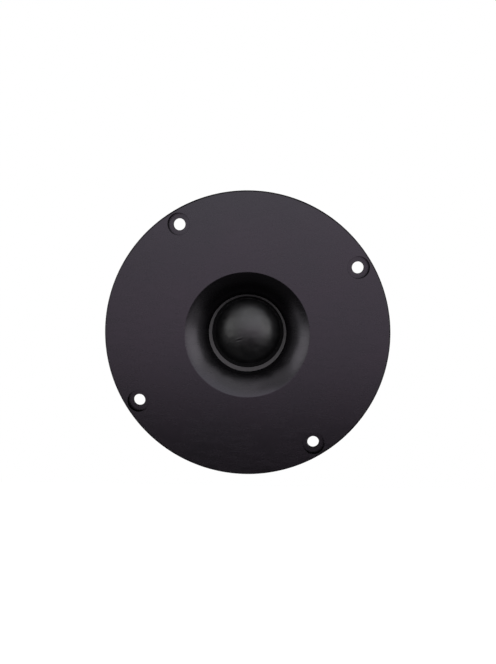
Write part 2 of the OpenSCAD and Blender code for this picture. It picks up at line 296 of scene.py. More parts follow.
def sweep(name, path, radius, sides=6):
    """A round tube along a path of points, all in millimetres."""
    path = np.array(path, float)
    tangents = np.gradient(path, axis=0)
    tangents /= np.linalg.norm(tangents, axis=1)[:, None]
    side = np.cross(tangents[0], (0.3, 1.0, 0.2))
    verts = []
    for p, t in zip(path, tangents):
        side = side - (side @ t) * t
        side /= np.linalg.norm(side)
        other = np.cross(t, side)
        for k in range(sides):
            a = 2 * pi * k / sides
            verts.append((p + radius * (cos(a) * side + sin(a) * other)) * MM)
    faces = []
    for i in range(len(path) - 1):
        for k in range(sides):
            m = (k + 1) % sides
            faces.append((i * sides + k, i * sides + m, (i + 1) * sides + m, (i + 1) * sides + k))
    faces.append(tuple(reversed(range(sides))))
    faces.append(tuple((len(path) - 1) * sides + k for k in range(sides)))
    return mesh_object(name, verts, faces)


def displace(piece, amount, size, seed, where):
    """Moves vertices along their normals by smooth noise, up to amount mm times the share where() gives."""
    mesh = piece.data
    normals = [Vector(v.normal) for v in mesh.vertices]
    offset = Vector((seed * 7.1, seed * 3.7, seed * 5.3))
    for v, n in zip(mesh.vertices, normals):
        share = where(v.co / MM)
        if share > 0:
            v.co += n * (amount * share * MM * noise.noise(v.co / (size * MM) + offset))
    mesh.update()
    return piece


# ---- materials
class Finish:
    """A procedural material, with helpers that take pattern sizes in millimetres."""

    def __init__(self, name, metallic=0.0, **sockets):
        self.mat = bpy.data.materials.new(name)
        self.mat.use_nodes = True
        self.nodes = self.mat.node_tree.nodes
        self.links = self.mat.node_tree.links
        self.shader = self.nodes["Principled BSDF"]
        self.shader.inputs["Metallic"].default_value = metallic
        for key, value in sockets.items():
            self.shader.inputs[key.replace("_", " ")].default_value = value
        self.coords = self.nodes.new("ShaderNodeTexCoord").outputs["Object"]
        self.normal = None

    def add(self, kind, **settings):
        node = self.nodes.new(kind)
        for key, value in settings.items():
            setattr(node, key, value)
        return node

    def put(self, socket, value):
        if hasattr(value, "links"):
            self.links.new(value, socket)
        else:
            socket.default_value = value

    def scaled(self, sizes):
        node = self.add("ShaderNodeMapping")
        self.links.new(self.coords, node.inputs["Vector"])
        node.inputs["Scale"].default_value = [1 / (s * MM) for s in sizes]
        return node.outputs["Vector"]

    def noise(self, size, detail=3.0, rough=0.55):
        """Noise with features of about size mm; a tuple gives a size along X, Y and Z."""
        sizes = size if isinstance(size, tuple) else (size,) * 3
        node = self.add("ShaderNodeTexNoise")
        self.links.new(self.scaled(sizes), node.inputs["Vector"])
        node.inputs["Scale"].default_value = 1.0
        node.inputs["Detail"].default_value = detail
        node.inputs["Roughness"].default_value = rough
        return node.outputs["Fac"]

    def cells(self, size):
        node = self.add("ShaderNodeTexVoronoi", feature="F1")
        self.links.new(self.scaled((size,) * 3), node.inputs["Vector"])
        node.inputs["Scale"].default_value = 1.0
        return node.outputs["Distance"]

    def bands(self, pitch, direction, kind="BANDS", distortion=0.0):
        """Parallel bands, or rings about Y, one every pitch mm."""
        node = self.add("ShaderNodeTexWave", wave_type=kind)
        if kind == "BANDS":
            node.bands_direction = direction
        else:
            node.rings_direction = direction
        self.links.new(self.coords, node.inputs["Vector"])
        node.inputs["Scale"].default_value = 2 * pi / (20 * pitch * MM)
        node.inputs["Distortion"].default_value = distortion
        node.inputs["Detail"].default_value = 1.0
        return node.outputs["Fac"]

    def radius(self):
        """The distance from the tweeter's axis, in millimetres."""
        flat = self.add("ShaderNodeVectorMath", operation="MULTIPLY")
        self.links.new(self.coords, flat.inputs[0])
        flat.inputs[1].default_value = (1 / MM, 0, 1 / MM)
        length = self.add("ShaderNodeVectorMath", operation="LENGTH")
        self.links.new(flat.outputs["Vector"], length.inputs[0])
        return length.outputs["Value"]

    def math(self, operation, a, b):
        node = self.add("ShaderNodeMath", operation=operation)
        self.put(node.inputs[0], a)
        self.put(node.inputs[1], b)
        return node.outputs["Value"]

    def spread(self, value, low, high, to_low=0.0, to_high=1.0):
        node = self.add("ShaderNodeMapRange", interpolation_type="SMOOTHSTEP")
        self.put(node.inputs["Value"], value)
        limits = {"From Min": low, "From Max": high, "To Min": to_low, "To Max": to_high}
        for key, number in limits.items():
            node.inputs[key].default_value = number
        return node.outputs["Result"]

    def varied(self, size, detail, low, high):
        """A number that wanders between low and high over patches of about size mm."""
        return self.spread(self.noise(size, detail), 0.3, 0.7, low, high)

    def mix(self, share, a, b):
        node = self.add("ShaderNodeMix", data_type="RGBA")
        self.put(node.inputs["Factor"], share)
        for socket, value in ((node.inputs[6], a), (node.inputs[7], b)):
            self.put(socket, value if hasattr(value, "links") else (*value, 1))
        return node.outputs[2]

    def bump(self, height, depth, strength=1.0):
        """Adds relief of depth mm to the surface."""
        node = self.add("ShaderNodeBump")
        node.inputs["Strength"].default_value = strength
        node.inputs["Distance"].default_value = depth * MM
        self.links.new(height, node.inputs["Height"])
        if self.normal:
            self.links.new(self.normal, node.inputs["Normal"])
        self.normal = node.outputs["Normal"]

    def done(self, color, roughness):
        self.put(self.shader.inputs["Base Color"], color)
        self.put(self.shader.inputs["Roughness"], roughness)
        if self.normal:
            self.links.new(self.normal, self.shader.inputs["Normal"])
        return self.mat


THREAD_PITCH = 0.26


def black_anodised():
    """Fine blasted and anodised aluminium: a grainy satin black with a faint warm tint."""
    f = Finish("black_anodised", metallic=0.965, Specular_Tint=(0.2, 0.2, 0.2, 1))
    tint = f.spread(f.noise(24, 2), 0.35, 0.65)
    grain = f.noise(0.22, 4, 0.7)
    body = f.mix(tint, (0.0200, 0.0182, 0.0208), (0.0186, 0.0180, 0.0200))
    body = f.mix(f.spread(grain, 0.3, 0.75), body, (0.0240, 0.0227, 0.0250))
    specks = f.spread(f.cells(3.1), 0.045, 0.02)
    body = f.mix(f.math("MULTIPLY", specks, 0.25), body, (0.055, 0.053, 0.057))
    # Lighter band along the flange's outer rim: partly worn, bared aluminium and partly a painted highlight
    # standing in for the lit chamfer.
    worn = f.spread(f.radius(), FLANGE_R - 0.45, FLANGE_R - 0.1)
    worn = f.math("MULTIPLY", worn, f.spread(f.noise(4, 3), 0.35, 0.7))
    body = f.mix(f.math("MULTIPLY", worn, 0.5), body, (0.085, 0.082, 0.085))
    f.bump(grain, 0.010, 0.55)
    f.bump(f.noise((3.5, 1.0, 0.16), 2), 0.005, 0.5)
    return f.done(body, f.varied((6, 6, 1.2), 3, 0.245, 0.28))


def grey_anodised():
    f = Finish("grey_anodised", Specular_IOR_Level=0.15)
    grain = f.noise(0.18, 4, 0.7)
    marks = f.bands(0.16, "Y", "RINGS", 0.3)
    body = f.mix(f.spread(grain, 0.3, 0.7), (0.047, 0.0445, 0.0465), (0.062, 0.059, 0.0615))
    f.bump(marks, 0.004, 0.5)
    f.bump(grain, 0.006, 0.5)
    return f.done(body, f.varied(1.5, 3, 0.45, 0.58))


def woven(f):
    """Threads that cross every THREAD_PITCH millimetres."""
    warp = f.bands(THREAD_PITCH, "X", distortion=0.15)
    weft = f.bands(THREAD_PITCH, "Z", distortion=0.15)
    return f.math("MAXIMUM", warp, weft)


def dome_fabric():
    """Woven silk under a tacky, faintly glossy damping coat."""
    f = Finish("dome_fabric", Specular_IOR_Level=0.40)
    weave = woven(f)
    coat = f.spread(f.noise(5.5, 3), 0.35, 0.68)
    body = f.mix(coat, (0.0003, 0.0003, 0.0004), (0.0006, 0.0006, 0.0007))
    body = f.mix(f.math("MULTIPLY", weave, 0.25), body, (0.0015, 0.0015, 0.0016))
    f.bump(weave, 0.012, 0.35)
    f.bump(f.noise(1.1, 4, 0.6), 0.025, 0.3)
    return f.done(body, f.varied(3.0, 3, 0.35, 0.43))


def bare_cloth():
    """The same weave without the coat, dull and black, on the half roll and the rim."""
    f = Finish("bare_cloth", Specular_IOR_Level=0.03)
    weave = woven(f)
    body = f.mix(weave, (0.0006, 0.0006, 0.0007), (0.0026, 0.0026, 0.0027))
    f.bump(weave, 0.018, 0.5)
    return f.done(body, f.varied(2.0, 3, 0.8, 0.95))


def black_plastic():
    f = Finish("black_plastic")
    grain = f.noise(0.3, 5, 0.7)
    body = f.mix(f.noise(6, 3), (0.009, 0.009, 0.0095), (0.015, 0.015, 0.016))
    f.bump(grain, 0.03, 0.5)
    return f.done(body, f.spread(grain, 0.3, 0.7, 0.48, 0.62))


def foam(name, dark, light, cell):
    f = Finish(name)
    pores = f.cells(cell)
    body = f.mix(f.spread(pores, 0.1, 0.75), light, dark)
    f.bump(pores, cell * 0.5, 0.8)
    f.bump(f.noise(cell * 3, 3), 0.05, 0.5)
    return f.done(body, f.varied(2, 2, 0.85, 0.97))


def wool_felt():
    f = Finish("wool_felt", Sheen_Weight=0.3, Sheen_Roughness=0.5)
    fibres = f.noise((0.9, 0.9, 0.12), 5, 0.75)
    crossing = f.noise((0.12, 0.5, 1.0), 5, 0.75)
    both = f.math("MULTIPLY", fibres, crossing)
    body = f.mix(f.spread(both, 0.12, 0.4), (0.10, 0.10, 0.095), (0.24, 0.235, 0.22))
    f.bump(both, 0.2, 0.8)
    return f.done(body, f.varied(1, 2, 0.85, 0.97))


def zinc_plated_steel():
    """Turned steel under clear zinc: rings from the lathe, a bluish mottle and dull finger marks."""
    f = Finish("zinc_plated_steel", metallic=1.0)
    turned = f.bands(0.22, "Y", "RINGS", 0.4)
    mottle = f.spread(f.noise(7, 4), 0.35, 0.65)
    body = f.mix(mottle, (0.34, 0.345, 0.36), (0.40, 0.40, 0.395))
    stain = f.spread(f.noise(3.2, 5, 0.65), 0.60, 0.74)
    body = f.mix(f.math("MULTIPLY", stain, 0.3), body, (0.29, 0.275, 0.25))
    f.bump(turned, 0.010, 0.35)
    f.bump(f.noise(0.5, 3), 0.01, 0.4)
    return f.done(body, f.varied(2.6, 4, 0.34, 0.44))


def turned_metal(name, dark, light, low, high, pitch=0.18):
    f = Finish(name, metallic=1.0)
    turned = f.bands(pitch, "Y", "RINGS", 0.3)
    body = f.mix(f.varied(2.5, 4, 0, 1), dark, light)
    f.bump(turned, 0.006, 0.4)
    f.bump(f.noise(0.3, 3), 0.006, 0.4)
    return f.done(body, f.varied(1.8, 3, low, high))


def ferrite():
    """Sintered ferrite with ground faces, pits and patches of pale dust."""
    f = Finish("ferrite", Specular_IOR_Level=0.6)
    grain = f.noise(0.35, 6, 0.75)
    pits = f.spread(f.cells(1.1), 0.10, 0.30)
    body = f.mix(f.spread(grain, 0.25, 0.75), (0.014, 0.014, 0.0155), (0.030, 0.0295, 0.031))
    dusty = f.math("MULTIPLY", f.spread(f.noise(9, 4), 0.55, 0.8), 0.4)
    body = f.mix(dusty, body, (0.055, 0.054, 0.052))
    f.bump(grain, 0.05, 0.5)
    f.bump(pits, 0.06, 0.4)
    return f.done(body, f.spread(grain, 0.3, 0.7, 0.48, 0.66))


def black_screw():
    f = Finish("black_screw", metallic=0.7)
    grain = f.noise(0.25, 4, 0.7)
    body = f.mix(f.spread(f.noise(1.2, 4), 0.35, 0.7), (0.028, 0.027, 0.028), (0.075, 0.070, 0.066))
    f.bump(grain, 0.01, 0.5)
    return f.done(body, f.spread(grain, 0.3, 0.7, 0.30, 0.45))


def former_film():
    f = Finish("former_film", IOR=1.6, Coat_Weight=0.3)
    body = f.mix(f.noise(2.5, 3), (0.45, 0.22, 0.035), (0.60, 0.33, 0.07))
    f.bump(f.noise(0.8, 3), 0.01, 0.5)
    return f.done(body, f.varied(1.5, 3, 0.22, 0.38))


def wire(name, dark, light):
    f = Finish(name, metallic=1.0)
    body = f.mix(f.varied(0.8, 4, 0, 1), dark, light)
    f.bump(f.noise(0.1, 2), 0.004, 0.5)
    return f.done(body, f.varied(0.6, 3, 0.20, 0.36))


def solder():
    f = Finish("solder", metallic=1.0)
    body = f.mix(f.varied(0.6, 4, 0, 1), (0.46, 0.46, 0.48), (0.68, 0.68, 0.70))
    f.bump(f.noise(0.25, 3), 0.02, 0.5)
    return f.done(body, f.varied(0.5, 3, 0.18, 0.40))


def tinned_brass():
    """Stamped brass strip under thin tin, with drawing lines and brass showing at worn spots."""
    f = Finish("tinned_brass", metallic=1.0)
    lines = f.noise((0.10, 2.5, 2.5), 3)
    worn = f.math("MULTIPLY", f.spread(f.noise(1.6, 4), 0.52, 0.68), 0.4)
    body = f.mix(worn, (0.62, 0.61, 0.57), (0.66, 0.50, 0.24))
    f.bump(lines, 0.002, 0.3)
    return f.done(body, f.spread(lines, 0.3, 0.7, 0.30, 0.40))


MATERIALS = [
    black_anodised(),
    grey_anodised(),
    dome_fabric(),
    bare_cloth(),
    black_plastic(),
    foam("black_foam", (0.006, 0.006, 0.006), (0.030, 0.030, 0.031), 0.45),
    foam("grey_foam", (0.025, 0.025, 0.026), (0.10, 0.10, 0.102), 0.5),
    foam("open_foam", (0.03, 0.03, 0.032), (0.20, 0.20, 0.205), 0.9),
    wool_felt(),
    former_film(),
    wire("copper_wire", (0.50, 0.16, 0.06), (0.68, 0.26, 0.11)),
    wire("tinsel_wire", (0.52, 0.28, 0.16), (0.72, 0.44, 0.28)),
    solder(),
    tinned_brass(),
    turned_metal("rivet_brass", (0.52, 0.36, 0.13), (0.70, 0.53, 0.25), 0.22, 0.36, 0.12),
    zinc_plated_steel(),
    turned_metal("pole_steel", (0.42, 0.42, 0.43), (0.58, 0.58, 0.59), 0.22, 0.36),
    turned_metal("pin_steel", (0.55, 0.55, 0.56), (0.68, 0.68, 0.69), 0.15, 0.26, 0.1),
    black_screw(),
    ferrite(),
    turned_metal("copper", (0.60, 0.24, 0.11), (0.74, 0.34, 0.18), 0.20, 0.34),
]
# The CAD's materials hold the plain names, so Blender adds a number to these.
FINISHES = {material.name.split(".")[0]: material for material in MATERIALS}


def place(piece, slot, node, body="chassis"):
    """Gives a piece its finish and its body, and lets it stand for its CAD node."""
    piece.data.materials.clear()
    piece.data.materials.append(FINISHES[slot])
    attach(piece, body)
    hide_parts(node)
    return piece


def turned(name, corners, slot, node, steps=ROUND_STEPS, angle=30):
    """A round piece of the chassis, from the corners of its section."""
    return place(smooth(lathe(name, rounded(corners), steps), angle), slot, node)


# ---- camera and light
# The camera's and the lights' distances are in metres, their angles in degrees.
CAMERA_DISTANCE = 0.282
CAMERA_AZIMUTH = 1.52
CAMERA_ELEVATION = 6.38
CAMERA_ROLL = 0.53
CAMERA_SHIFT = (0.0020, 0.0065)
PIXELS_PER_MM = 2.75
FRAME_WIDTH = 496
SENSOR = 36.0


def towards(azimuth, elevation):
    """The direction of two angles in radians: azimuth 0 is in front and a quarter turn is to the right."""
    flat = cos(elevation)
    return Vector((sin(azimuth) * flat, -cos(azimuth) * flat, sin(elevation)))


def make_camera():
    """Looks at the middle of the flange's front, from a little above and to the right."""
    target = Vector((0, FRONT_Y * MM, 0))
    away = towards(radians(CAMERA_AZIMUTH), radians(CAMERA_ELEVATION))
    right = Vector((0, 0, 1)).cross(away).normalized()
    up = away.cross(right)
    roll = Matrix.Rotation(radians(CAMERA_ROLL), 3, "Z")
    axes = Matrix((right, up, away)).transposed() @ roll
    data = bpy.data.cameras.new("camera")
    data.sensor_fit = "HORIZONTAL"
    data.sensor_width = SENSOR
    data.lens = PIXELS_PER_MM * CAMERA_DISTANCE / MM / FRAME_WIDTH * SENSOR
    data.shift_x, data.shift_y = CAMERA_SHIFT
    data.clip_start = 0.01
    camera = add_object("camera", data)
    camera.matrix_world = Matrix.Translation(target + away * CAMERA_DISTANCE) @ axes.to_4x4()
    bpy.context.scene.camera = camera


# Each softbox: its range of azimuth and of elevation, in degrees, and its radiance. Azimuth 0 is in front of
# the tweeter and 90 to its right. The front ones make a light tent that is open below, and the edge and rear
# ones light the motor.
SOFTBOXES = {
    "front_low": ((-20, 36), (-12, 4), 2.5),
    "front_box": ((-20, 36), (4, 40), 3.15),
    "top_box": ((-20, 36), (40, 62), 2.6),
    "high_box": ((-34, 34), (62, 74), 1.5),
    "left_front": ((-36, -20), (-12, 48), 1.2),
    "left_strip": ((-64, -36), (-12, 20), 4.5),
    "left_wing": ((-62, -36), (20, 48), 1.6),
    "left_shoulder": ((-50, -20), (48, 62), 1.8),
    "right_strip": ((36, 66), (-12, 20), 4.8),
    "right_wing": ((36, 62), (20, 48), 2.7),
    "right_shoulder": ((36, 50), (48, 62), 2.3),
    "left_low": ((-66, -50), (-30, -12), 1.5),
    "right_low": ((36, 66), (-30, -12), 1.1),
    "left_side": ((-88, -66), (-30, 30), 0.4),
    "right_side": ((66, 88), (-30, 30), 0.35),
    "floor_bounce": ((-50, 50), (-65, -30), 0.08),
    "rear_left_box": ((-150, -115), (-10, 50), 2.2),
    "rear_right_box": ((115, 150), (-10, 50), 2.2),
    "edge_left_box": ((-115, -92), (-40, 50), 1.8),
    "edge_right_box": ((92, 115), (-40, 50), 1.8),
    "rear_top_box": ((150, 210), (25, 84), 2.2),
    "rear_box": ((155, 205), (-25, 25), 1.5),
    "rear_foot_box": ((150, 210), (-84, -30), 1.4),
    "rear_low_left": ((-150, -115), (-50, -10), 0.8),
    "rear_low_right": ((115, 150), (-50, -10), 0.8),
}
TINTS = {"front_low": (1.0, 0.86, 1.01), "front_box": (1.0, 1.0, 1.06)}
WHITE = (1.0, 1.0, 1.0)
SOFTBOX_DISTANCE = 1.3
FLOOR_Z = -1.0
FLOOR_HALF = 3.0


def span(angles):
    """The width of a softbox that covers a range of angles, seen from the tweeter."""
    return 2 * SOFTBOX_DISTANCE * tan(radians(angles[1] - angles[0]) / 2)


def make_lights():
    """Hangs the softboxes on a sphere about the tweeter, each with its face towards it."""
    for name, (azimuths, elevations, radiance) in SOFTBOXES.items():
        azimuth, elevation = (radians(sum(pair) / 2) for pair in (azimuths, elevations))
        direction = towards(azimuth, elevation)
        data = bpy.data.lights.new(name, "AREA")
        data.shape = "RECTANGLE"
        data.size = span(azimuths) * cos(elevation)
        data.size_y = span(elevations)
        data.energy = radiance * pi * data.size * data.size_y
        data.color = TINTS.get(name, WHITE)
        lamp = add_object(name, data)
        lamp.location = direction * SOFTBOX_DISTANCE
        lamp.rotation_euler = direction.to_track_quat("Z", "Y").to_euler()
        lamp.visible_camera = False


def make_stage():
    """A plain white floor and surround, which light nothing and only the camera sees."""
    scene = bpy.context.scene
    scene.view_settings.view_transform = "Standard"
    world = bpy.data.worlds.new("studio")
    world.use_nodes = True
    background = world.node_tree.nodes["Background"]
    background.inputs["Color"].default_value = (1, 1, 1, 1)
    background.inputs["Strength"].default_value = 1.0
    scene.world = world
    seen_by = world.cycles_visibility
    seen_by.diffuse = seen_by.glossy = seen_by.transmission = seen_by.scatter = False
    signs = ((-1, -1), (1, -1), (1, 1), (-1, 1))
    corners = [(sx * FLOOR_HALF, sy * FLOOR_HALF, FLOOR_Z) for sx, sy in signs]
    floor = mesh_object("studio_floor", corners, [(0, 1, 2, 3)], merge=False)
    paint = Finish("studio_white")
    paint.shader.inputs["Emission Color"].default_value = (1, 1, 1, 1)
    paint.shader.inputs["Emission Strength"].default_value = 1.0
    floor.data.materials.append(paint.done((0.9, 0.9, 0.9, 1), 0.9))
    floor.visible_diffuse = floor.visible_glossy = floor.visible_shadow = False


# ---- faceplate and its seals
def wall_arc(start, from_slope, to_slope, to_radius, steps):
    """Points of an arc of the waveguide's wall, which steepens from one slope to another going in."""
    sines = [sin(radians(slope)) for slope in (from_slope, to_slope)]
    arc_r = (start[0] - to_radius) / (sines[1] - sines[0])
    points = []
    for i in range(steps + 1):
        slope = radians(from_slope + (to_slope - from_slope) * i / steps)
        points.append((
            start[0] + arc_r * (sines[0] - sin(slope)),
            start[1] + arc_r * (cos(radians(from_slope)) - cos(slope)),
        ))
    return points


def waveguide_wall():
    """The wall from the throat to the mouth: a tight arc inside the knee and a wide one outside."""
    flare = wall_arc((MOUTH_R, FRONT_Y), MOUTH_SLOPE, KNEE_SLOPE, KNEE_R, 32)
    throat = wall_arc(flare[-1], KNEE_SLOPE, THROAT_SLOPE, THROAT_R, 12)
    return list(reversed(flare + throat[1:]))


def counterbored_hole(name, angle):
    """A cutter with a broken edge at the front and at the seat of the screw's head."""
    seat_y = FRONT_Y + COUNTERBORE_DEPTH
    front_break, seat_break = 0.05, 0.12
    outline = [
        (0, FRONT_Y - 1), (COUNTERBORE_R + 1 + front_break, FRONT_Y - 1),
        (COUNTERBORE_R, FRONT_Y + front_break), (COUNTERBORE_R, seat_y), (BOLT_HOLE_R + seat_break, seat_y),
        (BOLT_HOLE_R, seat_y + seat_break), (BOLT_HOLE_R, 1), (0, 1),
    ]
    return lathe(name, outline, SMALL_STEPS * 2, on_circle(BOLT_CIRCLE_R, angle))


def make_faceplate():
    outline = waveguide_wall() + rounded([
        (FLANGE_R - EDGE_CHAMFER, FRONT_Y, 0.12), (FLANGE_R, FRONT_Y + EDGE_CHAMFER, 0.12),
        (FLANGE_R, 0, 0.25), (GASKET_R, 0, 0.08), (GASKET_R, GASKET_Y), (GASKET_INNER_R, GASKET_Y),
        (GASKET_INNER_R, 0, 0.08), (BOSS_R, 0, 0.6), (BOSS_R, BOSS_END_Y, 0.3), (CARRIER_R, BOSS_END_Y, 0.15),
        (CARRIER_R, RECESS_Y), (RING_SEAT_R, RECESS_Y), (RING_SEAT_R, THROAT_Y),
    ])
    plate = lathe("faceplate_machined", outline, FINE_STEPS)
    tapped = [
        (0, BOSS_END_Y + 1), (TAPPED_R + 0.4, BOSS_END_Y + 0.4), (TAPPED_R, BOSS_END_Y),
        (TAPPED_R, BOSS_END_Y - TAPPED_DEPTH), (0, BOSS_END_Y - TAPPED_DEPTH - 0.8),
    ]
    cutters = [counterbored_hole(f"hole_{i}", a) for i, a in enumerate(BOLT_ANGLES)]
    for a in SCREW_ANGLES:
        cutters.append(lathe(f"tapped_{a}", tapped, SMALL_STEPS, on_circle(MOTOR_SCREW_R, a)))
    cutters.append(block(
        "slot", (-TERMINAL_SLOT_HALF, CARRIER_Y - TERMINAL_SLOT_ROOF, -BOSS_R - 1),
        (TERMINAL_SLOT_HALF, BOSS_END_Y + 1, -CARRIER_R + 2),
    ))
    smooth(combine(plate, cutters))
    place(plate, "black_anodised", "faceplate")


def make_throat_ring():
    turned("throat_ring_turned", [
        (THROAT_R, THROAT_Y, 0.05), (RING_SEAT_R, THROAT_Y), (RING_SEAT_R, RING_END_Y, 0.1),
        (RING_EXIT_R, RING_END_Y, 0.12),
    ], "grey_anodised", "throat_ring", FINE_STEPS)


def foam_ring(name, inner, outer, low, high, slot, node, bulge):
    """A flat foam ring whose edges are rounded by bulge."""
    corners = [(inner, low, bulge), (outer, low, bulge), (outer, high, bulge), (inner, high, bulge)]
    turned(name, corners, slot, node, angle=50)


def make_gaskets():
    foam_ring(
        "flange_seal", GASKET_INNER_R + GASKET_GAP, GASKET_R - GASKET_GAP, GASKET_Y, 0,
        "black_foam", "flange_gasket", 0.2,
    )
    foam_ring(
        "carrier_seal", CARRIER_SEAL_BORE_R, CARRIER_GASKET_R, RECESS_Y, CARRIER_Y,
        "grey_foam", "carrier_gasket", 0.12,
    )


# ---- diaphragm
def fabric_front(r):
    """How far back the fabric's front face is at a radius: dome, valley, half roll and glued rim."""
    foot_y = CARRIER_Y - FABRIC_T
    height = foot_y - DOME_TOP_Y
    ball_r = (DOME_R ** 2 + height ** 2) / (2 * height)
    if r <= DOME_R:
        return DOME_TOP_Y + ball_r - sqrt(ball_r ** 2 - r ** 2)
    off = abs(r - ROLL_START - ROLL_R)
    if off < ROLL_R:
        return min(foot_y, CARRIER_Y - sqrt(ROLL_R ** 2 - off ** 2))
    return foot_y


def fabric_rings():
    """Radii of the mesh's rings, closest together where the half roll curves most."""
    roll_steps = 20
    roll_mid = ROLL_START + ROLL_R
    dome = list(np.linspace(0, DOME_R - 0.25, 50))
    foot = [DOME_R - 0.1, DOME_R + 0.05]
    roll = [roll_mid - ROLL_R * cos(pi * i / roll_steps) for i in range(roll_steps + 1)]
    rim = [ROLL_END + 0.3, FABRIC_R - 0.8, FABRIC_R - 0.1, FABRIC_R]
    return dome + foot + roll + rim


def dome_unevenness(x, z):
    """Formed cloth is never a true ball: soft swellings, and one short crease left of the middle."""
    swell = 0.16 * noise.noise(Vector((x / 7.5, z / 6.5, 2.3)))
    swell += 0.05 * noise.noise(Vector((x / 2.6, z / 2.2, 8.1)))
    crease_x, crease_z = -3.1, -3.0
    tilt_cos, tilt_sin = 0.94, 0.34
    along = (x - crease_x) * tilt_cos + (z - crease_z) * tilt_sin
    across = (z - crease_z) * tilt_cos - (x - crease_x) * tilt_sin
    crease = 0.10 * exp(-(along / 1.1) ** 2 - (across / 0.28) ** 2)
    ridge = 0.06 * exp(-(along / 1.3) ** 2 - ((across - 0.5) / 0.35) ** 2)
    return swell + crease - ridge


def make_fabric():
    """One cloth from the dome's top to the glued rim, which stretches across the half roll."""
    radii = fabric_rings()
    count = len(radii) - 1
    index = {}
    verts = []
    for i in range(-count, count + 1):
        for j in range(-count, count + 1):
            k = max(abs(i), abs(j))
            turn = square_turn(i, j, k)
            x, z = radii[k] * cos(turn), radii[k] * sin(turn)
            fade = max(0.0, 1 - (radii[k] / (DOME_R - 0.6)) ** 4)
            y = fabric_front(radii[k]) + fade * dome_unevenness(x, z)
            index[i, j] = len(verts)
            verts.append((x * MM, y * MM, z * MM))
    faces = [
        (index[i, j], index[i + 1, j], index[i + 1, j + 1], index[i, j + 1])
        for i in range(-count, count) for j in range(-count, count)
    ]
    cloth = mesh_object("dome_and_surround_cloth", verts, faces, merge=False)
    thicken = cloth.modifiers.new("thickness", "SOLIDIFY")
    thicken.thickness = FABRIC_T * MM
    thicken.offset = -1.0
    smooth(bake_modifiers(cloth), 60, weighted=False)
    for slot in ("dome_fabric", "bare_cloth"):
        cloth.data.materials.append(FINISHES[slot])
    for face in cloth.data.polygons:
        face.material_index = int(hypot(face.center.x, face.center.z) > DOME_R * MM)
    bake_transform(cloth)
    spread_blend_round(cloth)
    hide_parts("dome", "surround")


def square_turn(i, j, k):
    """The angle of a square grid's point (i, j) when its square ring k is pulled out to a circle."""
    if k == 0:
        return 0.0
    if abs(i) >= abs(j):
        return pi / 4 * j / i + (0 if i > 0 else pi)
    return pi / 2 - pi / 4 * i / j + (0 if j > 0 else pi)


def spread_blend_round(cloth):
    """Works out each vertex's share of the way across the half roll, and keeps nothing of it."""
    for v in cloth.data.vertices:
        t = (hypot(v.co.x, v.co.z) / MM - ROLL_START) / (ROLL_END - ROLL_START)
        t = min(max(t, 0.0), 1.0)


def make_coil():
    """The dome's skirt, the former inside it and the winding, whose second layer lies on the first."""
    skirt_r, foot_y = DOME_R - FABRIC_T, CARRIER_Y - FABRIC_T
    skirt = lathe("dome_skirt", rounded([
        (skirt_r, foot_y, 0.04), (DOME_R, foot_y, 0.04), (DOME_R, SKIRT_END_Y, 0.06),
        (skirt_r, SKIRT_END_Y, 0.06),
    ]))
    skirt.data.materials.append(FINISHES["dome_fabric"])
    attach(smooth(skirt), "diaphragm")
    former_r = FORMER_HIGH[0]
    former = lathe("coil_former_film", rounded([
        (former_r - FORMER_T, FORMER_LOW[1], 0.03), (former_r, FORMER_LOW[1], 0.03),
        (former_r, FORMER_HIGH[1], 0.03), (former_r - FORMER_T, FORMER_HIGH[1], 0.03),
    ]))
    place(smooth(former), "former_film", "coil_former", "diaphragm")
    layers = []
    for layer in range(COIL_LAYERS):
        pitch = 2 * COIL_WIRE_R + 0.005
        centre_r = former_r + 0.002 + COIL_WIRE_R * (1 + 2 * layer)
        turns = int((COIL_HIGH[1] - COIL_LOW[1] - 2 * COIL_WIRE_R) / pitch)
        steps = 64
        path = []
        for i in range(turns * steps + 1):
            a = 2 * pi * i / steps
            y = COIL_LOW[1] + COIL_WIRE_R + pitch * i / steps
            path.append((centre_r * cos(a), y, centre_r * sin(a)))
        layers.append(sweep(f"layer_{layer}", path, COIL_WIRE_R))
    winding = smooth(join("voice_coil_winding", layers), 80, weighted=False)
    place(winding, "copper_wire", "voice_coil", "diaphragm")


def smooth_path(points, per_span=10):
    """A smooth curve through points, with the ends as they are."""
    points = [np.array(p, float) for p in points]
    points = [2 * points[0] - points[1]] + points + [2 * points[-1] - points[-2]]
    path = []
    for a, b, c, d in zip(points, points[1:], points[2:], points[3:]):
        for k in range(per_span):
            t = k / per_span
            path.append(0.5 * (2 * b + (c - a) * t + (2 * a - 5 * b + 4 * c - d) * t ** 2
                               + (3 * b - a - 3 * c + d) * t ** 3))
    path.append(points[-2])
    return path


def make_lead_out(name, side, node):
    """Three twisted strands from the winding to the solder joint, with a little slack on the way."""
    turn = side * atan2(TERMINAL_X, -SOLDER_Z)
    outward = Vector((sin(turn), 0, -cos(turn)))
    start_r = FORMER_HIGH[0] + 0.15
    line = smooth_path([
        (start_r, COIL_LOW[1], 0), (start_r, COIL_LOW[1] - 0.9, 0), (start_r + 0.12, 11.0, 0),
        (13.1, 10.72, 0), (14.2, 10.86, 0), (15.4, 10.96, 0), (16.5, 10.84, 0), (17.3, 10.7, 0),
    ])
    strands = []
    strand_count, points_per_twist = 3, 12
    for k in range(strand_count):
        path = []
        for i, (r, y, _) in enumerate(line):
            a = 2 * pi * (k / strand_count + i / points_per_twist)
            across = Vector((-outward.z, 0, outward.x)) * 0.07 * cos(a)
            path.append(outward * (r + 0.05 * sin(a)) + across + Vector((0, y, 0)))
        strands.append(sweep(f"strand_{k}", path, STRAND_R))
    lead = smooth(join(name, strands), 80, weighted=False)
    lead.data.materials.append(FINISHES["tinsel_wire"])
    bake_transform(lead)
    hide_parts(node)


